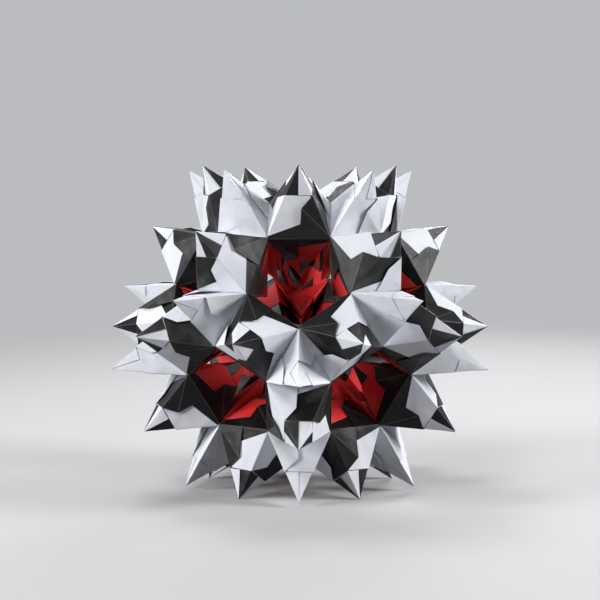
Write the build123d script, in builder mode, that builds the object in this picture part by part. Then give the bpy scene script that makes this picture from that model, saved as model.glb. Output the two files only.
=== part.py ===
from build123d import *
import math
import os

os.makedirs("parts", exist_ok=True)

# driving dimensions, millimetres
paper_side = 100.0
sheet = 0.25

# the square sheet's strip, folded at 45 degrees, sets the edge that a point stands on
edge = paper_side / (2 * math.sqrt(2))
apex_angle = 45.0

# soft creases draw the points in a little
point_share = 0.97
ridge = point_share * edge / (2 * math.sin(math.radians(apex_angle / 2)))
slant = math.sqrt(ridge**2 - (edge / 2) ** 2)

# where the folds cross a face, as shares of its height from the base
seam_share = 0.5858
mouth_share = 0.4142
toe_share = 0.2929
hinge_share = 0.05
pinch_share = 0.02
gap_share = 0.012

# room round the tabs and between the two halves' pocket fronts
margin_share = 0.03
split_share = 0.01
play_share = 0.2
margin = margin_share * edge
split = split_share * edge
play = play_share * sheet

# the ball: openings with five sides, points with four and three
golden = (1 + math.sqrt(5)) / 2
ball_radius = edge * math.sqrt(11 + 4 * math.sqrt(5)) / 2


def girth(sides):
    """Radius of the circle through a regular polygon's corners."""
    return edge / (2 * math.sin(math.pi / sides))


def inset(sides):
    """Distance from a regular polygon's middle to its side."""
    return edge / (2 * math.tan(math.pi / sides))


def depth(sides):
    """Distance from the ball's centre to a polygon's plane."""
    return math.sqrt(ball_radius**2 - girth(sides) ** 2)


def rise(sides):
    """Height of the point that stands on a polygon."""
    return math.sqrt(ridge**2 - girth(sides) ** 2)


def shifted(point, *planes):
    """Point moved so it stands the given distance off each of three planes."""
    (n1, d1), (n2, d2), (n3, d3) = planes
    volume = n1.dot(n2.cross(n3))
    move = n2.cross(n3) * d1 + n3.cross(n1) * d2 + n1.cross(n2) * d3
    return point + move * (1 / volume)


class PointFace:
    """One flat side of a point, seen from outside with its base down."""

    def __init__(self, middle, axis, base, sides):
        self.middle = middle
        self.axis = axis
        self.base = base
        self.sides = sides
        self.outward = middle.dot(axis) > 0
        self.tip = middle + axis * rise(sides)
        self.up = (self.tip - base).normalized()
        out = base - middle
        self.normal = (out - self.up * out.dot(self.up)).normalized()
        self.along = self.up.cross(self.normal)

    def at(self, across, share):
        """Point on the face, across from its middle line and a share up its height."""
        return self.base + self.along * across + self.up * (slant * share)

    def left_ridge(self, share):
        """Point on the ridge at the left."""
        return self.at(-(1 - share) * edge / 2, share)

    def right_ridge(self, share):
        """Point on the ridge at the right."""
        return self.at((1 - share) * edge / 2, share)

    def turned(self, steps):
        """Face that many places round the point."""
        out = self.base - self.middle
        swung = out.rotate(Axis((0, 0, 0), self.axis), steps * 360 / self.sides)
        return PointFace(self.middle, self.axis, self.middle + swung, self.sides)


def fold_half(face, other, mountain, wrapped, pocketed):
    """Adds one half of a folded unit: back, wrapped tip, pocket front and tab."""
    left = face.turned(-1)
    right = face.turned(1)
    on_sheet = (face.normal, sheet)
    rising = (face.tip - face.right_ridge(0)).normalized()
    climbing = (face.tip - face.left_ridge(0)).normalized()
    tip_top = shifted(face.tip, on_sheet, (left.normal, sheet), (right.normal, sheet))
    on_fold = (other.normal, sheet)
    near_end = (right.normal, sheet)
    far_end = (left.normal, sheet)
    if mountain:
        near_end = (Vector(0, 0, 1).cross(face.right_ridge(0)), 0)
        far_end = (Vector(0, 0, 1).cross(face.left_ridge(0)), 0)
    corner = shifted(face.right_ridge(0), on_sheet, near_end, on_fold)
    far_corner = shifted(face.left_ridge(0), on_sheet, far_end, on_fold)

    # back layer, from the fold at the base up to the tip
    ConvexPolyhedron([face.left_ridge(0), face.right_ridge(0), face.tip, far_corner, corner, tip_top])

    # tip thickened at the left ridge and wrapped over it on to the next face
    if wrapped:
        hem_share = seam_share + gap_share
        hem = face.left_ridge(hem_share)
        hem_low = shifted(hem, on_sheet, (left.normal, sheet), (climbing, 0))
        hem_high = shifted(hem, (face.normal, 2 * sheet), (left.normal, 2 * sheet), (climbing, 0))
        ConvexPolyhedron([tip_top, hem_low, hem_high, face.at(0, hem_share) + face.normal * sheet])
        ConvexPolyhedron([tip_top, hem_low, hem_high, left.at(0, hem_share) + left.normal * sheet])

    # pocket front, hinged on the back along the base and pinched at the corner
    if pocketed:
        crest = face.right_ridge(seam_share)
        room = 2 * sheet + play
        crest_low = shifted(crest, (face.normal, room), (right.normal, sheet + play), (rising, 0))
        crest_high = shifted(crest, (face.normal, room + sheet), (right.normal, 2 * sheet), (rising, 0))
        start = face.base + face.along * split
        heel_low = shifted(start, on_sheet, on_fold, (face.along, 0))
        top_fold = (other.normal, sheet if mountain else 2 * sheet)
        heel_high = shifted(start, (face.normal, 2 * sheet), top_fold, (face.along, 0))
        hinge = face.at(split, hinge_share) + face.normal * sheet
        pinch = corner
        if mountain:
            pinch = shifted(face.right_ridge(pinch_share), on_sheet, (right.normal, sheet), (rising, 0))
        lid = (crest_low - pinch).cross(hinge - pinch).normalized()
        mouth = face.at(split, mouth_share)
        mouth_low = shifted(mouth, (lid, lid.dot(pinch - mouth)), (face.along, 0), (face.up, 0))
        mouth_high = mouth_low + face.normal * sheet
        front = [heel_low, heel_high, corner, pinch, hinge, crest_low, crest_high, mouth_low, mouth_high]
        ConvexPolyhedron(front)

        # tab over the right ridge, pushed into the next face's pocket
        end = right.at((1 - seam_share) * edge / 2 - margin, seam_share)
        toe = right.at((1 - toe_share) * edge / 2 - margin, toe_share) + right.normal * sheet
        tab = [pinch, crest_low, crest_high, toe, end + right.normal * sheet]
        if face.outward:
            tab.append(end + right.normal * (2 * sheet))
        ConvexPolyhedron(tab)


def tilt(angle):
    """Direction leaning from +Z towards +X."""
    return Vector(math.sin(angle), 0, math.cos(angle))


five_to_four = math.atan2(1, golden)
three_to_four = math.atan2(1, golden**2)
rim = Vector(inset(5), 0, depth(5))
valley = Vector(inset(3), 0, depth(3))

# black unit: along a side of an opening, on the outward and the inward point of one square
square = tilt(five_to_four)
outward = PointFace(square * depth(4), square, rim, 4)
inward = PointFace(square * depth(4), -square, rim, 4)
with BuildPart() as black_unit:
    fold_half(outward, inward, True, True, True)
    fold_half(inward, outward, True, True, True)

# white unit: in the valley between a square's and a triangle's outward points
square = tilt(three_to_four)
upright = Vector(0, 0, 1)
on_square = PointFace(square * depth(4), square, valley, 4)
on_triangle = PointFace(upright * depth(3), upright, valley, 3)
with BuildPart() as white_unit:
    fold_half(on_square, on_triangle, False, True, True)
    fold_half(on_triangle, on_square, False, False, True)

# red unit: the same valley seen from inside the ball
in_square = PointFace(square * depth(4), -square, valley, 4)
in_triangle = PointFace(upright * depth(3), -upright, valley, 3)
with BuildPart() as red_unit:
    fold_half(in_square, in_triangle, False, True, True)
    fold_half(in_triangle, in_square, False, False, False)

# the openings' directions: one up, one down and a ring of five round each
openings = [Vector(0, 0, 1), Vector(0, 0, -1)]
ring_polar = math.degrees(math.atan(2))
for step in range(5):
    leaning = Vector(0, 0, 1).rotate(Axis.X, ring_polar)
    upper = leaning.rotate(Axis.Z, step * 360 / 5)
    openings.append(upper)
    openings.append(-upper)
near_share = 0.4


def close(first, second):
    """True where two openings are next to each other."""
    return near_share < first.dot(second) < 1 - near_share


# the ball stands on the tips of its five lowest square points
tip_reach = depth(4) + rise(4) + sheet * slant / inset(4)
stand = Location((0, 0, tip_reach * math.cos(five_to_four)))


def placed(unit, direction, towards, sides, name):
    """Copies of a unit set round one polygon of the ball."""
    frame = Plane(origin=(0, 0, 0), x_dir=towards, z_dir=direction)
    copies = []
    for step in range(sides):
        turn = Rotation(0, 0, step * 360 / sides)
        copies.append(stand * frame.location * turn * unit.part)
    group = Compound(children=copies)
    group.label = name
    export_step(group, f"parts/{name}.step")


for number, direction in enumerate(openings, start=1):
    beside = next(other for other in openings if close(direction, other))
    towards = beside - direction * beside.dot(direction)
    placed(black_unit, direction, towards, 5, f"black_ring_{number:02d}")

triples = []
for first in range(12):
    for second in range(first):
        for third in range(second):
            trio = [openings[first], openings[second], openings[third]]
            if close(trio[0], trio[1]) and close(trio[1], trio[2]) and close(trio[0], trio[2]):
                triples.append(trio)

for number, trio in enumerate(triples, start=1):
    direction = (trio[0] + trio[1] + trio[2]).normalized()
    towards = direction * trio[0].dot(direction) - trio[0]
    placed(white_unit, direction, towards, 3, f"white_point_{number:02d}")
    placed(red_unit, direction, towards, 3, f"red_point_{number:02d}")
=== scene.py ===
"""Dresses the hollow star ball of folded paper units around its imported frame."""

import logging
import math
import random
from collections.abc import Iterator
from dataclasses import dataclass, field
from enum import Enum, IntEnum

import bmesh
import bpy
from mathutils import Matrix, Vector


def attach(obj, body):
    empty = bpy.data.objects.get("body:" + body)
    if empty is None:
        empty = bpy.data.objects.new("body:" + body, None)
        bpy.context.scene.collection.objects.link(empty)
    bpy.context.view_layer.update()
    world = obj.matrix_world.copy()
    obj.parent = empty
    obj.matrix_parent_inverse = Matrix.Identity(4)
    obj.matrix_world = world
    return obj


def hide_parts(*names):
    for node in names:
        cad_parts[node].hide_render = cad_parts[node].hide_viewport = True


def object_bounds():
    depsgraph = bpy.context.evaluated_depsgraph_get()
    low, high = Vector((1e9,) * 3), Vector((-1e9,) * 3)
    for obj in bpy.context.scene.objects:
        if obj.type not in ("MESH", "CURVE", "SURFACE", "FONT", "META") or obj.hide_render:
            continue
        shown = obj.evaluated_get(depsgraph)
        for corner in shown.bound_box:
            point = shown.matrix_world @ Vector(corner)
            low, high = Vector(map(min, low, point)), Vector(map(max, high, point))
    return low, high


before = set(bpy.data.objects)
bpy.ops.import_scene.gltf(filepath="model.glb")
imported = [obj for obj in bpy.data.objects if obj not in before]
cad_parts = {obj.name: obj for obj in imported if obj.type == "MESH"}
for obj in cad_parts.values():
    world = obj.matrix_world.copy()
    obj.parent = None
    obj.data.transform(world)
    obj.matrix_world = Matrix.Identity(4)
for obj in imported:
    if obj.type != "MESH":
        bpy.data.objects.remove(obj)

LOG = logging.getLogger("star_ball")
CAD_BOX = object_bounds()
IMAGE_SIDE = 600
SENSOR_WIDTH = 36.0
MILLIMETRE = 0.001
UPRIGHT = Vector((0, 0, 1))

Colour = tuple[float, float, float]
Plane = tuple[Vector, float]
Tree = bpy.types.NodeTree
Socket = bpy.types.NodeSocket
Inputs = dict[str | int, Socket | Colour | float]


class Paper(Enum):
    """The three papers, each named for its material slot."""

    WHITE = "white_paper"
    BLACK = "black_paper"
    RED = "red_paper"


class Fold(Enum):
    """Which way a unit is folded along the edge it lies on."""

    MOUNTAIN = "mountain"
    VALLEY = "valley"


class Polygon(IntEnum):
    """The flat shapes that the ball's edges enclose, by their number of sides."""

    TRIANGLE = 3
    SQUARE = 4
    PENTAGON = 5


class Half(IntEnum):
    """The two halves of a unit, each by the number that its own panels start from."""

    FIRST = 0
    SECOND = 3


class Side(IntEnum):
    """Which side of its point a panel lies on, to be added to its half's number."""

    OWN = 0
    LEFT = 1
    RIGHT = 2
    PAST_CREASE = 6


@dataclass(frozen=True)
class CreasePattern:
    """Sizes of the fold that every unit shares.

    Lengths are in metres. Shares are of a face's height, and of its edge where they run across it.
    A level is the height of a layer's top above the face.
    """

    paper_side: float = 0.1
    apex_angle: float = math.pi / 4
    sheet: float = 0.0002
    back_level: float = 0.0002
    lap_level: float = 0.00048
    toe_level: float = 0.0004
    heel_level: float = 0.00065
    front_level: float = 0.00095
    point_share: float = 0.97
    seam_share: float = 0.5858
    mouth_share: float = 0.4142
    toe_share: float = 0.2929
    hem_share: float = 0.594
    corner_share: float = 0.005
    pinch_share: float = 0.03
    margin_share: float = 0.03
    split_share: float = 0.008
    fold_radius: float = 0.0004
    fold_steps: int = 2
    worn_reach: float = 0.75
    border: float = 0.00025
    bow: float = 0.0003
    blunt: float = 0.0002

    @property
    def edge(self) -> float:
        """Length of the edge that a point stands on."""
        return self.paper_side / (2 * math.sqrt(2))

    @property
    def ridge(self) -> float:
        """Length of a point's ridge."""
        return self.point_share * self.edge / (2 * math.sin(self.apex_angle / 2))

    @property
    def slant(self) -> float:
        """Height of one flat side of a point."""
        return math.sqrt(self.ridge ** 2 - (self.edge / 2) ** 2)

    @property
    def ball_radius(self) -> float:
        """Distance from the ball's centre to the corners of its openings."""
        return self.edge * math.sqrt(11 + 4 * math.sqrt(5)) / 2

    def girth(self, sides: int) -> float:
        """Radius of the circle through a regular polygon's corners."""
        return self.edge / (2 * math.sin(math.pi / sides))

    def inset(self, sides: int) -> float:
        """Distance from a regular polygon's middle to its side."""
        return self.edge / (2 * math.tan(math.pi / sides))

    def depth(self, sides: int) -> float:
        """Distance from the ball's centre to a polygon's plane."""
        return math.sqrt(self.ball_radius ** 2 - self.girth(sides) ** 2)

    def rise(self, sides: int) -> float:
        """Height of the point that stands on a polygon."""
        return math.sqrt(self.ridge ** 2 - self.girth(sides) ** 2)


@dataclass(frozen=True)
class HandWork:
    """How far hand-folded units differ.

    Lifts are in millimetres. The rest are shares of a face's edge or height.
    """

    lap_sway: tuple[float, float] = (-0.01, 0.01)
    lap_lift: float = 0.6
    mouth_lift: tuple[float, float] = (0.3, 1.6)
    mouth_sway: tuple[float, float] = (0.0, 0.03)
    seam_slip: tuple[float, float] = (-0.008, 0.004)
    end_lift: float = 0.15


PATTERN = CreasePattern()
HAND = HandWork()


def ball_centre() -> Vector:
    """Centre of the ball, half-way up the frame's box."""
    low, high = CAD_BOX
    return Vector((0, 0, (low[2] + high[2]) / 2))


def shifted(point: Vector, *planes: Plane) -> Vector:
    """Moves a point off three planes at once.

    Args:
        point: The point, which lies on all three planes.
        planes: Each plane's normal and the distance to stand off it.

    Returns:
        The point at those three distances.
    """
    (n1, d1), (n2, d2), (n3, d3) = planes
    volume = n1.dot(n2.cross(n3))
    move = n2.cross(n3) * d1 + n3.cross(n1) * d2 + n1.cross(n2) * d3
    return point + move / volume


@dataclass
class PointFace:
    """One flat side of a point, seen from outside with its base down."""

    middle: Vector
    axis: Vector
    base: Vector
    sides: int
    tip: Vector = field(init=False)
    up: Vector = field(init=False)
    normal: Vector = field(init=False)
    along: Vector = field(init=False)

    def __post_init__(self) -> None:
        """Works out the side's own directions."""
        self.tip = self.middle + self.axis * PATTERN.rise(self.sides)
        self.up = (self.tip - self.base).normalized()
        out = self.base - self.middle
        self.normal = (out - self.up * out.dot(self.up)).normalized()
        self.along = self.up.cross(self.normal)

    def at(self, across: float, share: float, level: float = 0.0) -> Vector:
        """Finds a point by its place on the side.

        Args:
            across: Distance to the right of the middle line.
            share: Share of the side's height above its base.
            level: Distance outwards from the side.

        Returns:
            The point.
        """
        climb = self.up * (PATTERN.slant * share)
        return self.base + self.along * across + climb + self.normal * level

    def left_ridge(self, share: float) -> Vector:
        """Point on the left ridge, a share of the way up."""
        return self.at(-(1 - share) * PATTERN.edge / 2, share)

    def right_ridge(self, share: float) -> Vector:
        """Point on the right ridge, a share of the way up."""
        return self.at((1 - share) * PATTERN.edge / 2, share)

    def turned(self, steps: int) -> "PointFace":
        """Finds another side of the same point.

        Args:
            steps: Places to go round, to the right where positive.

        Returns:
            The side there.
        """
        turn = Matrix.Rotation(steps * math.tau / self.sides, 3, self.axis)
        base = self.middle + turn @ (self.base - self.middle)
        return PointFace(self.middle, self.axis, base, self.sides)

    def swell(self, point: Vector) -> float:
        """Works out how far the side bows out at a point.

        Args:
            point: The point, on or near the side.

        Returns:
            From 0 at the side's edges to 1 in its middle, where all three shares are a third.
        """
        place = point - self.base
        share = place.dot(self.up) / PATTERN.slant
        right = 0.5 * (1 - share) + place.dot(self.along) / PATTERN.edge
        left = 1 - share - right
        return max(0.0, 3 ** 3 * share * right * left)


@dataclass
class FoldedUnit:
    """One square sheet folded into a unit, lying along one edge of the ball.

    Each panel notes its host, which is its Half plus its Side.
    """

    first: PointFace
    second: PointFace
    fold: Fold
    cuts: int = 1

    def build(self, bm: bmesh.types.BMesh, place: Matrix, dice: random.Random) -> None:
        """Adds the unit to a mesh.

        Args:
            bm: The mesh to add to.
            place: Where the unit goes, from its own frame to the ball's.
            dice: Source of the small differences between hand-folded units.
        """
        part = bmesh.new()
        host = part.faces.layers.int.new("host")
        creased = self._backs(part, dice)
        for half in Half:
            creased += self._front_and_tab(part, half, dice)
        worn = [(edge.verts[0].co.copy(), edge.verts[1].co.copy()) for edge in creased]
        bmesh.ops.subdivide_edges(part, edges=part.edges, cuts=self.cuts, use_grid_fill=True)
        self._bow(part)
        # A narrow border strip keeps the edge colour close to the sheet's edges, where white paper
        # gets a painted shade along its seams.
        bmesh.ops.inset_region(part, faces=part.faces[:], thickness=PATTERN.border, depth=0.0,
                               use_boundary=True, use_even_offset=False)
        folds = [edge for edge in part.edges
                 if self._is_fold({face[host] for face in edge.link_faces})]
        bmesh.ops.bevel(part, geom=folds, offset=PATTERN.fold_radius, offset_type="OFFSET",
                        segments=PATTERN.fold_steps, profile=0.5, affect="EDGES", material=-1)
        # Marks the sheet's edges for the edge colour: a paler edge on black and red paper, a
        # painted bluish shade along the seams on white paper.
        cut_edge_and_seam_shade = part.verts.layers.float.new("cut_edge_and_seam_shade")
        for vert in part.verts:
            vert[cut_edge_and_seam_shade] = float(vert.is_boundary)
        bmesh.ops.solidify(part, geom=part.faces[:], thickness=PATTERN.sheet)
        self._mark_creases(part, worn, dice.uniform(-1, 1))
        bmesh.ops.transform(part, matrix=place, verts=part.verts)
        mesh = bpy.data.meshes.new("unit")
        part.to_mesh(mesh)
        part.free()
        bm.from_mesh(mesh)
        bpy.data.meshes.remove(mesh)

    def _bow(self, bm: bmesh.types.BMesh) -> None:
        """Bows the panels outwards between their folds.

        Args:
            bm: The unit's mesh.
        """
        host = bm.faces.layers.int["host"]
        sides = [turned for side in (self.first, self.second)
                 for turned in (side, side.turned(-1), side.turned(1))]
        for vert in bm.verts:
            under = {face[host] % len(sides) for face in vert.link_faces}
            if len(under) == 1:
                side = sides[under.pop()]
                vert.co += side.normal * (PATTERN.bow * side.swell(vert.co))

    def _is_fold(self, hosts: set[int]) -> bool:
        """True for an edge between two panels, except a valley's own edge, which stays sharp."""
        return len(hosts) == 2 and (self.fold is Fold.MOUNTAIN or hosts != set(Half))

    @staticmethod
    def _panel(bm: bmesh.types.BMesh, host: int, corners: list[bmesh.types.BMVert]) -> None:
        """Makes one flat panel and notes its host."""
        bm.faces.new(corners)[bm.faces.layers.int["host"]] = host

    def _end_plane(self, beside: PointFace, corner: Vector) -> Plane:
        """Finds the plane that ends a unit at a corner of the ball.

        Args:
            beside: The side of the point past that corner.
            corner: The corner.

        Returns:
            The plane's normal and the distance to stand off it.
        """
        if self.fold is Fold.MOUNTAIN:
            return UPRIGHT.cross(corner), 0.0
        return beside.normal, PATTERN.toe_level

    def _backs(self, bm: bmesh.types.BMesh, dice: random.Random) -> list[bmesh.types.BMEdge]:
        """Makes both halves' back layers and the tips wrapped over their left ridges.

        Args:
            bm: The unit's mesh.
            dice: Source of small differences.

        Returns:
            The edges that wear as creases.
        """
        level, lap_level = PATTERN.back_level, PATTERN.lap_level
        reach = PATTERN.edge * (0.5 - PATTERN.corner_share)
        face, other = self.first, self.second
        planes = ((face.normal, level), (other.normal, level), (face.along, 0.0))
        near = bm.verts.new(shifted(face.at(-reach, 0), *planes))
        far = bm.verts.new(shifted(face.at(reach, 0), *planes))
        creased = []
        ends = (Half.FIRST, face, near, far), (Half.SECOND, other, far, near)
        for half, side, start, stop in ends:
            left, right = side.turned(-1), side.turned(1)
            climb = (side.tip - side.left_ridge(0)).normalized()
            on_back, on_lap = (side.normal, level), (left.normal, lap_level)
            top = shifted(side.tip, on_back, on_lap, (right.normal, level))
            tip = bm.verts.new(top - side.axis * PATTERN.blunt)
            turn = side.left_ridge(PATTERN.hem_share)
            hem = bm.verts.new(shifted(turn, on_back, on_lap, (climb, 0.0)))
            self._panel(bm, half + Side.OWN, [start, stop, tip, hem])
            sway = dice.uniform(*HAND.lap_sway) * PATTERN.edge
            lift = dice.random() ** 2 * HAND.lap_lift * MILLIMETRE
            lap = bm.verts.new(left.at(sway, PATTERN.hem_share, lap_level + lift))
            self._panel(bm, half + Side.LEFT, [hem, tip, lap])
            creased.append(bm.edges.get((hem, tip)))
        if self.fold is Fold.MOUNTAIN:
            creased.append(bm.edges.get((near, far)))
        return creased

    def _front_and_tab(
        self, bm: bmesh.types.BMesh, half: Half, dice: random.Random
    ) -> list[bmesh.types.BMEdge]:
        """Makes one half's pocket front and the tab it sends over its right ridge.

        Args:
            bm: The unit's mesh.
            half: Which half.
            dice: Source of small differences.

        Returns:
            The edges that wear as creases.
        """
        face, other = self.first, self.second
        if half is Half.SECOND:
            face, other = other, face
        right = face.turned(1)
        rising = (face.tip - face.right_ridge(0)).normalized()
        split = PATTERN.split_share * PATTERN.edge
        on_front, on_fold = (face.normal, PATTERN.heel_level), (other.normal, PATTERN.heel_level)

        # pocket front: heel and corner on the fold, pinched at the corner of a mountain unit
        heel = bm.verts.new(shifted(face.at(split, 0), on_front, on_fold, (face.along, 0.0)))
        end_plane = self._end_plane(right, face.right_ridge(0))
        corner = bm.verts.new(shifted(face.right_ridge(0), on_front, on_fold, end_plane))
        pinch = corner
        if self.fold is Fold.MOUNTAIN:
            low = face.right_ridge(PATTERN.pinch_share)
            beside = (right.normal, PATTERN.toe_level)
            pinch = bm.verts.new(shifted(low, on_front, beside, (rising, 0.0)))
        high = face.right_ridge(PATTERN.seam_share)
        over, past = (face.normal, PATTERN.front_level), (right.normal, PATTERN.lap_level)
        crest = bm.verts.new(shifted(high, over, past, (rising, 0.0)))
        lift = dice.uniform(*HAND.mouth_lift) * MILLIMETRE
        across = split + dice.uniform(*HAND.mouth_sway) * PATTERN.edge
        open_level = PATTERN.front_level + lift
        mouth = bm.verts.new(face.at(across, PATTERN.mouth_share, open_level))
        self._panel(bm, half + Side.OWN, list(dict.fromkeys([heel, corner, pinch, mouth])))
        self._panel(bm, half + Side.PAST_CREASE, [pinch, crest, mouth])

        # tab, over the right ridge and down into the next pocket
        margin = PATTERN.margin_share * PATTERN.edge
        seam = PATTERN.seam_share + dice.uniform(*HAND.seam_slip)
        end_level = PATTERN.lap_level + dice.random() * HAND.end_lift * MILLIMETRE
        end = bm.verts.new(right.at((1 - seam) * PATTERN.edge / 2 - margin, seam, end_level))
        toe_across = (1 - PATTERN.toe_share) * PATTERN.edge / 2 - margin
        toe = bm.verts.new(right.at(toe_across, PATTERN.toe_share, PATTERN.toe_level))
        self._panel(bm, half + Side.RIGHT, [pinch, toe, end, crest])
        return [bm.edges.get((pinch, crest)), bm.edges.get((pinch, mouth))]

    @staticmethod
    def _mark_creases(
        bm: bmesh.types.BMesh, worn: list[tuple[Vector, Vector]], tone: float
    ) -> None:
        """Notes on each vertex how worn its fold is, and the unit's own tone.

        Args:
            bm: The unit's mesh.
            worn: The two ends of each crease.
            tone: The unit's tone, from -1 for dark to 1 for light.
        """
        crease = bm.verts.layers.float.new("crease")
        shade = bm.verts.layers.float.new("tone")
        reach = PATTERN.worn_reach * PATTERN.fold_radius
        for vert in bm.verts:
            vert[shade] = tone
            for start, stop in worn:
                run = stop - start
                share = min(1.0, max(0.0, (vert.co - start).dot(run) / run.length_squared))
                if (vert.co - start - run * share).length < reach:
                    vert[crease] = 1.0


def feed(tree: Tree, node: bpy.types.Node, inputs: Inputs) -> None:
    """Gives a shader node what goes in.

    Args:
        tree: The nodes that it belongs to.
        node: The node.
        inputs: A socket to link, a colour or a number for each input, by its name or its place.
    """
    for name, value in inputs.items():
        if isinstance(value, Socket):
            tree.links.new(value, node.inputs[name])
        else:
            node.inputs[name].default_value = (*value, 1) if isinstance(value, tuple) else value


def add_node(tree: Tree, kind: str, inputs: Inputs, **options: str | Tree) -> bpy.types.Node:
    """Adds a shader node.

    Args:
        tree: The nodes to add it to.
        kind: The kind of node.
        inputs: What goes in, as feed takes it.
        options: The node's own settings, by name.

    Returns:
        The node.
    """
    node = tree.nodes.new(f"ShaderNode{kind}")
    for name, value in options.items():
        setattr(node, name, value)
    feed(tree, node, inputs)
    return node


def add_math(tree: Tree, operation: str, *values: Socket | float) -> Socket:
    """Adds a calculation.

    Args:
        tree: The nodes to add it to.
        operation: Which calculation it is.
        values: A socket or a number for each of its inputs.

    Returns:
        The result's socket.
    """
    node = add_node(tree, "Math", dict(enumerate(values)), operation=operation)
    return node.outputs["Value"]


def add_mix(tree: Tree, share: Socket, first: Socket | Colour, second: Socket | Colour) -> Socket:
    """Adds a mix of two colours.

    Args:
        tree: The nodes to add it to.
        share: Share of the second colour.
        first: The first colour.
        second: The second colour.

    Returns:
        The mixed colour's socket.
    """
    inputs = {"Factor": share, "A": first, "B": second}
    return add_node(tree, "Mix", inputs, data_type="RGBA").outputs["Result"]


@dataclass(frozen=True)
class PaperFinish:
    """A matt folding paper: its colour, its worn creases, the colour of its sheet edges, which on
    white paper is a painted shade along the seams, and its fibre.
    """

    paper: Paper
    colour: Colour
    worn: Colour
    # Edge colour: a paler edge on black and red paper, a painted bluish seam shade on white paper.
    cut_edge_and_seam_shade: Colour
    wear: float
    smoothest: float
    sheen: float
    mottle: float
    warp: float = 0.0016

    def material(self, fibre: Tree, creases: Tree) -> bpy.types.Material:
        """Makes the paper's material.

        Args:
            fibre: The shared fibre group.
            creases: The shared group of worn creases and sheet edges, with its painted seam shade.

        Returns:
            The material.
        """
        material = bpy.data.materials.new(self.paper.value)
        material.use_nodes = True
        tree = material.node_tree
        grain_inputs = {
            "Colour": self.colour, "Mottle": self.mottle, "Smoothest": self.smoothest,
        }
        grain = add_node(tree, "Group", grain_inputs, node_tree=fibre).outputs
        # The edge colour and its painted seam shade go in with the worn creases, and wear's colour
        # carries both.
        wear_inputs = {
            "Colour": grain["Colour"], "Worn": self.worn, "Amount": self.wear, "CutEdgeAndSeamShade": self.cut_edge_and_seam_shade,
        }
        wear = add_node(tree, "Group", wear_inputs, node_tree=creases).outputs
        bump = add_node(tree, "Bump", {"Distance": self.warp, "Height": grain["Height"]}).outputs
        feed(tree, tree.nodes["Principled BSDF"], {
            "Base Color": wear["Colour"],
            "Roughness": grain["Roughness"],
            "Specular IOR Level": self.sheen,
            "Normal": bump["Normal"],
        })
        return material


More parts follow.
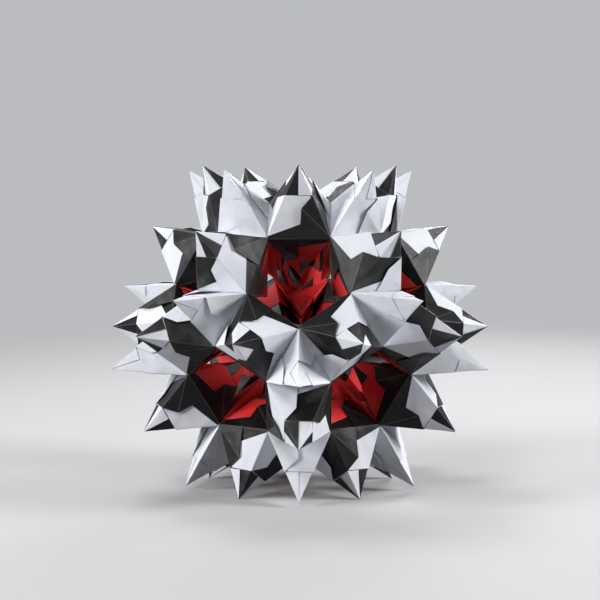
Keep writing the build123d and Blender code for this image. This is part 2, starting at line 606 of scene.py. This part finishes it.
@dataclass(frozen=True)
class PaperGroups:
    """The shader groups that all three papers share; each scale is in features per metre."""

    fibre_scale: float = 900.0
    fibre_detail: float = 4.0
    fibre_roughness: float = 0.65
    cloud_scale: float = 160.0
    cloud_detail: float = 3.0
    tone_share: float = 0.35
    warp_scale: float = 75.0
    warp_detail: float = 1.0
    fibre_height: float = 0.1
    gloss_spread: float = 0.25
    rub_scale: float = 420.0
    rub_detail: float = 3.0

    @staticmethod
    def _group(
        name: str, inputs: dict[str, str], outputs: dict[str, str]
    ) -> tuple[Tree, bpy.types.Node, bpy.types.Node]:
        """Starts a shader group.

        Args:
            name: The group's name.
            inputs: The kind of each input socket, by name.
            outputs: The kind of each output socket, by name.

        Returns:
            The group and its input and output nodes.
        """
        tree = bpy.data.node_groups.new(name, "ShaderNodeTree")
        for way, sockets in (("INPUT", inputs), ("OUTPUT", outputs)):
            for label, kind in sockets.items():
                tree.interface.new_socket(label, in_out=way, socket_type=f"NodeSocket{kind}")
        return tree, tree.nodes.new("NodeGroupInput"), tree.nodes.new("NodeGroupOutput")

    @staticmethod
    def _noise(tree: Tree, scale: float, detail: float, roughness: float = 0.5) -> Socket:
        """Adds a noise pattern that sits still on the piece.

        Args:
            tree: The group to add it to.
            scale: Features per metre.
            detail: Number of finer layers.
            roughness: Strength of the finer layers.

        Returns:
            The noise's socket, from 0 to 1.
        """
        place = add_node(tree, "TexCoord", {}).outputs["Object"]
        inputs = {"Vector": place, "Scale": scale, "Detail": detail, "Roughness": roughness}
        return add_node(tree, "TexNoise", inputs).outputs["Fac"]

    @staticmethod
    def _note(tree: Tree, name: str) -> Socket:
        """Adds a node that reads what the mesh notes under a name."""
        return add_node(tree, "Attribute", {}, attribute_name=name).outputs["Fac"]

    def fibre(self) -> Tree:
        """Makes the group for fine fibre, cloudy mottling and each unit's own tone.

        Returns:
            The node group.
        """
        tree, start, end = self._group(
            "paper_fibre", {"Colour": "Color", "Mottle": "Float", "Smoothest": "Float"},
            {"Colour": "Color", "Roughness": "Float", "Height": "Float"},
        )
        fine = self._noise(tree, self.fibre_scale, self.fibre_detail, self.fibre_roughness)
        cloud = self._noise(tree, self.cloud_scale, self.cloud_detail)
        warp = self._noise(tree, self.warp_scale, self.warp_detail)
        grains = add_math(tree, "ADD", fine, cloud)
        units = add_math(tree, "MULTIPLY_ADD", self._note(tree, "tone"), self.tone_share, grains)
        around = add_math(tree, "SUBTRACT", units, 1.0)
        gain = add_math(tree, "MULTIPLY_ADD", around, start.outputs["Mottle"], 1.0)
        tint_inputs = {0: start.outputs["Colour"], "Scale": gain}
        tint = add_node(tree, "VectorMath", tint_inputs, operation="SCALE").outputs["Vector"]
        smoothest = start.outputs["Smoothest"]
        feed(tree, end, {
            "Colour": tint,
            "Roughness": add_math(tree, "MULTIPLY_ADD", fine, self.gloss_spread, smoothest),
            "Height": add_math(tree, "MULTIPLY_ADD", fine, self.fibre_height, warp),
        })
        return tree

    def creases(self) -> Tree:
        """Makes the group that rubs the paper paler along its folds and mixes the edge colour in
        along the sheet's edges, which on white paper is a painted shade along the seams.

        Returns:
            The node group.
        """
        tree, start, end = self._group(
            "worn_creases_and_seam_shade", {"Colour": "Color", "Worn": "Color", "Amount": "Float", "CutEdgeAndSeamShade": "Color"},
            {"Colour": "Color"},
        )
        rub = self._noise(tree, self.rub_scale, self.rub_detail)
        patchy = add_math(tree, "MULTIPLY", self._note(tree, "crease"), rub)
        amount = add_math(tree, "MULTIPLY", patchy, start.outputs["Amount"])
        amount.node.use_clamp = True
        worn = add_mix(tree, amount, start.outputs["Colour"], start.outputs["Worn"])
        # Mixes in the edge colour: paler edges, and on white paper a painted shade along the seams.
        rim = add_mix(tree, self._note(tree, "cut_edge_and_seam_shade"), worn, start.outputs["CutEdgeAndSeamShade"])
        feed(tree, end, {"Colour": rim})
        return tree


@dataclass
class StarBall:
    """The whole ball: rings of black units and triples of white and of red ones."""

    seed: int = 31
    seed_step: int = 1000
    ring_polar: float = math.atan(2)
    near: tuple[float, float] = (0.4, 0.6)
    openings: list[Vector] = field(init=False)
    centre: Matrix = field(init=False)

    def __post_init__(self) -> None:
        """Finds the directions of the openings and the height of the ball's centre."""
        self.openings = [UPRIGHT, -UPRIGHT]
        leaning = Matrix.Rotation(self.ring_polar, 3, "X") @ UPRIGHT
        for step in range(Polygon.PENTAGON):
            upper = Matrix.Rotation(step * math.tau / Polygon.PENTAGON, 3, "Z") @ leaning
            self.openings += [upper, -upper]
        self.centre = Matrix.Translation(ball_centre())

    def close(self, first: Vector, second: Vector) -> bool:
        """True where two openings are next to each other."""
        return self.near[0] < first.dot(second) < self.near[1]

    def units(self) -> dict[Paper, FoldedUnit]:
        """Lays out one unit of each paper in the frame of the polygon it stands beside.

        Returns:
            The units by paper.
        """
        golden = (1 + math.sqrt(5)) / 2

        def tilt(angle: float) -> Vector:
            """Direction leaning from +Z towards +X."""
            return Vector((math.sin(angle), 0, math.cos(angle)))

        rim = Vector((PATTERN.inset(Polygon.PENTAGON), 0, PATTERN.depth(Polygon.PENTAGON)))
        valley = Vector((PATTERN.inset(Polygon.TRIANGLE), 0, PATTERN.depth(Polygon.TRIANGLE)))
        by_opening, by_triangle = tilt(math.atan2(1, golden)), tilt(math.atan2(1, golden ** 2))
        beside_opening = by_opening * PATTERN.depth(Polygon.SQUARE)
        beside_triangle = by_triangle * PATTERN.depth(Polygon.SQUARE)
        triangle = UPRIGHT * PATTERN.depth(Polygon.TRIANGLE)
        return {
            Paper.BLACK: FoldedUnit(
                PointFace(beside_opening, by_opening, rim, Polygon.SQUARE),
                PointFace(beside_opening, -by_opening, rim, Polygon.SQUARE), Fold.MOUNTAIN),
            Paper.WHITE: FoldedUnit(
                PointFace(beside_triangle, by_triangle, valley, Polygon.SQUARE),
                PointFace(triangle, UPRIGHT, valley, Polygon.TRIANGLE), Fold.VALLEY),
            Paper.RED: FoldedUnit(
                PointFace(beside_triangle, -by_triangle, valley, Polygon.SQUARE),
                PointFace(triangle, -UPRIGHT, valley, Polygon.TRIANGLE), Fold.VALLEY),
        }

    def trios(self) -> Iterator[list[Vector]]:
        """Finds the openings round each three-sided point.

        Returns:
            Three openings at a time, in the order of the frame's nodes.
        """
        for first in range(len(self.openings)):
            for second in range(first):
                for third in range(second):
                    trio = [self.openings[k] for k in (first, second, third)]
                    if all(self.close(trio[k], trio[k - 1]) for k in range(len(trio))):
                        yield trio

    def places(self) -> list[tuple[str, Paper, Vector, Vector, int]]:
        """Lists every group of units.

        Returns:
            Each group's node, paper, direction, first unit's heading and count.
        """
        found = []
        for number, direction in enumerate(self.openings, start=1):
            beside = next(other for other in self.openings if self.close(direction, other))
            heading = beside - direction * beside.dot(direction)
            name = f"black_ring_{number:02d}"
            found.append((name, Paper.BLACK, direction, heading, Polygon.PENTAGON))
        for number, trio in enumerate(self.trios(), start=1):
            direction = sum(trio, Vector()).normalized()
            heading = direction * trio[0].dot(direction) - trio[0]
            for paper, kind in ((Paper.WHITE, "white"), (Paper.RED, "red")):
                name = f"{kind}_point_{number:02d}"
                found.append((name, paper, direction, heading, Polygon.TRIANGLE))
        return found

    def build(self, materials: dict[Paper, bpy.types.Material]) -> None:
        """Builds every group of units in place of its frame node.

        Args:
            materials: The material of each paper.
        """
        units = self.units()
        for order, (node, paper, direction, heading, count) in enumerate(self.places()):
            dice = random.Random(self.seed * self.seed_step + order)
            across = heading.normalized()
            turned = Matrix((across, direction.cross(across), direction)).transposed().to_4x4()
            bm = bmesh.new()
            for step in range(count):
                spin = Matrix.Rotation(step * math.tau / count, 4, "Z")
                units[paper].build(bm, self.centre @ turned @ spin, dice)
            mesh = bpy.data.meshes.new(f"{node}_paper")
            bm.to_mesh(mesh)
            bm.free()
            mesh.materials.append(materials[paper])
            piece = bpy.data.objects.new(f"{node}_paper", mesh)
            bpy.context.scene.collection.objects.link(piece)
            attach(piece, "root")
            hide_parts(node)
            LOG.info("%s: %d units, %d faces", piece.name, count, len(mesh.polygons))


@dataclass(frozen=True)
class Lamp:
    """One soft lamp: its direction in degrees, its width in metres and its power in watts."""

    name: str
    azimuth: float
    elevation: float
    size: float
    power: float


@dataclass
class Studio:
    """Pale floor, soft lamps and the camera."""

    lamps: tuple[Lamp, ...] = (
        Lamp("right", 82.0, 20.0, 0.45, 17.0),
        Lamp("left", -68.0, 16.0, 0.45, 13.8),
        Lamp("front", -20.0, 45.0, 0.35, 4.5),
        Lamp("back", -150.0, 60.0, 0.35, 6.5),
        Lamp("behind", 165.0, 22.0, 0.45, 7.5),
    )
    lamp_reach: float = 1.25
    sky_colour: Colour = (0.9, 0.93, 1.0)
    sky_strength: float = 0.02
    backdrop_tone: Colour = (0.50, 0.505, 0.52)
    distance: float = 0.9363
    elevation: float = 5.06
    azimuth: float = 0.62
    focal_pixels: float = 1559.3
    centre_pixel: tuple[float, float] = (300.0, 326.25)
    floor_colour: Colour = (0.54, 0.54, 0.55)
    floor_bounce: Colour = (0.20, 0.20, 0.205)
    floor_roughness: float = 0.9
    floor_sheen: float = 0.1
    floor_reach: float = 20.0
    fade: tuple[float, float] = (0.3, 1.2)

    def build(self) -> None:
        """Sets up everything that isn't part of the object."""
        self._floor()
        self._sky()
        self._lamps()
        self._camera()
        bpy.context.scene.view_settings.view_transform = "Standard"

    def _floor(self) -> None:
        """Lays the floor."""
        bm = bmesh.new()
        bmesh.ops.create_grid(bm, x_segments=1, y_segments=1, size=self.floor_reach)
        mesh = bpy.data.meshes.new("floor")
        bm.to_mesh(mesh)
        bm.free()
        mesh.materials.append(self._floor_finish())
        floor = bpy.data.objects.new("floor", mesh)
        bpy.context.scene.collection.objects.link(floor)

    def _floor_finish(self) -> bpy.types.Material:
        """Makes a floor that looks pale, fades into the backdrop and throws little light back.

        Returns:
            The material.
        """
        material = bpy.data.materials.new("studio_floor")
        material.use_nodes = True
        tree = material.node_tree
        seen = self._seen(tree)
        shader = tree.nodes["Principled BSDF"]
        feed(tree, shader, {
            "Base Color": add_mix(tree, seen, self.floor_bounce, self.floor_colour),
            "Roughness": self.floor_roughness,
            "Specular IOR Level": self.floor_sheen,
        })
        place = add_node(tree, "TexCoord", {}).outputs["Object"]
        reach = add_node(tree, "VectorMath", {0: place}, operation="LENGTH").outputs["Value"]
        near, far = self.fade
        fade_inputs = {"Value": reach, "From Min": near, "From Max": far}
        fade = add_node(tree, "MapRange", fade_inputs, interpolation_type="SMOOTHSTEP")
        faded = add_math(tree, "MULTIPLY", seen, fade.outputs["Result"])
        backdrop = add_node(tree, "Emission", {"Color": self.backdrop_tone})
        layers = {"Fac": faded, 1: shader.outputs["BSDF"], 2: backdrop.outputs["Emission"]}
        mix = add_node(tree, "MixShader", layers)
        feed(tree, tree.nodes["Material Output"], {"Surface": mix.outputs["Shader"]})
        return material

    @staticmethod
    def _seen(tree: Tree) -> Socket:
        """Adds nodes that pick out light on its way to the camera, also by gloss or glass.

        Args:
            tree: The floor's or the world's nodes.

        Returns:
            The socket that is 1 for that light and 0 for the rest.
        """
        path = add_node(tree, "LightPath", {})
        seen = path.outputs["Is Camera Ray"]
        for ray in ("Is Glossy Ray", "Is Transmission Ray"):
            seen = add_math(tree, "MAXIMUM", seen, path.outputs[ray])
        return seen

    def _sky(self) -> None:
        """Sets a dim even sky behind the pale backdrop."""
        world = bpy.data.worlds.new("studio")
        bpy.context.scene.world = world
        world.use_nodes = True
        tree = world.node_tree
        sky = tree.nodes["Background"]
        feed(tree, sky, {"Color": self.sky_colour, "Strength": self.sky_strength})
        backdrop = add_node(tree, "Background", {"Color": self.backdrop_tone})
        layers = {
            "Fac": self._seen(tree),
            1: sky.outputs["Background"],
            2: backdrop.outputs["Background"],
        }
        mix = add_node(tree, "MixShader", layers)
        feed(tree, tree.nodes["World Output"], {"Surface": mix.outputs["Shader"]})

    def _lamps(self) -> None:
        """Hangs the soft lamps."""
        for lamp in self.lamps:
            light = bpy.data.lights.new(lamp.name, "AREA")
            light.size = lamp.size
            light.energy = lamp.power
            hung = bpy.data.objects.new(lamp.name, light)
            towards = self._direction(lamp.azimuth, lamp.elevation)
            hung.location = ball_centre() + towards * self.lamp_reach
            hung.rotation_euler = (-towards).to_track_quat("-Z", "Y").to_euler()
            hung.visible_camera = False
            bpy.context.scene.collection.objects.link(hung)

    @staticmethod
    def _direction(azimuth: float, elevation: float) -> Vector:
        """Finds a direction from the ball.

        Args:
            azimuth: Degrees round from the front, to the right where positive.
            elevation: Degrees above level.

        Returns:
            The direction, of length 1.
        """
        turn, rise = math.radians(azimuth), math.radians(elevation)
        across = math.cos(rise)
        return Vector((math.sin(turn) * across, -math.cos(turn) * across, math.sin(rise)))

    def _camera(self) -> None:
        """Sets the camera at the photograph's angle and framing."""
        lens = bpy.data.cameras.new("camera")
        lens.sensor_fit = "HORIZONTAL"
        lens.sensor_width = SENSOR_WIDTH
        lens.lens = self.focal_pixels / IMAGE_SIDE * SENSOR_WIDTH
        lens.shift_x = (IMAGE_SIDE / 2 - self.centre_pixel[0]) / IMAGE_SIDE
        lens.shift_y = (self.centre_pixel[1] - IMAGE_SIDE / 2) / IMAGE_SIDE
        camera = bpy.data.objects.new("camera", lens)
        back = self._direction(self.azimuth, self.elevation)
        camera.location = ball_centre() + back * self.distance
        camera.rotation_euler = (-back).to_track_quat("-Z", "Y").to_euler()
        bpy.context.scene.collection.objects.link(camera)
        bpy.context.scene.camera = camera


FINISHES = (
    PaperFinish(
        # The white paper's edge colour is a painted bluish shade along its seams.
        Paper.WHITE, colour=(0.76, 0.775, 0.825), worn=(0.82, 0.83, 0.88), cut_edge_and_seam_shade=(0.50, 0.53, 0.74),
        wear=0.8, smoothest=0.68, sheen=0.3, mottle=0.07,
    ),
    PaperFinish(
        Paper.BLACK, colour=(0.009, 0.0091, 0.0094), worn=(0.12, 0.12, 0.125),
        cut_edge_and_seam_shade=(0.07, 0.07, 0.075), wear=1.2, smoothest=0.26, sheen=0.18, mottle=1.7,
    ),
    PaperFinish(
        Paper.RED, colour=(0.70, 0.024, 0.028), worn=(0.72, 0.12, 0.10), cut_edge_and_seam_shade=(0.70, 0.10, 0.09),
        wear=0.8, smoothest=0.55, sheen=0.22, mottle=0.25,
    ),
)


def main() -> None:
    """Builds the ball and its studio."""
    logging.basicConfig(level=logging.INFO, format="%(message)s")
    groups = PaperGroups()
    # The creases group also paints the shade along the white paper's seams.
    fibre, creases = groups.fibre(), groups.creases()
    materials = {finish.paper: finish.material(fibre, creases) for finish in FINISHES}
    StarBall().build(materials)
    Studio().build()


if __name__ == "__main__":
    main()
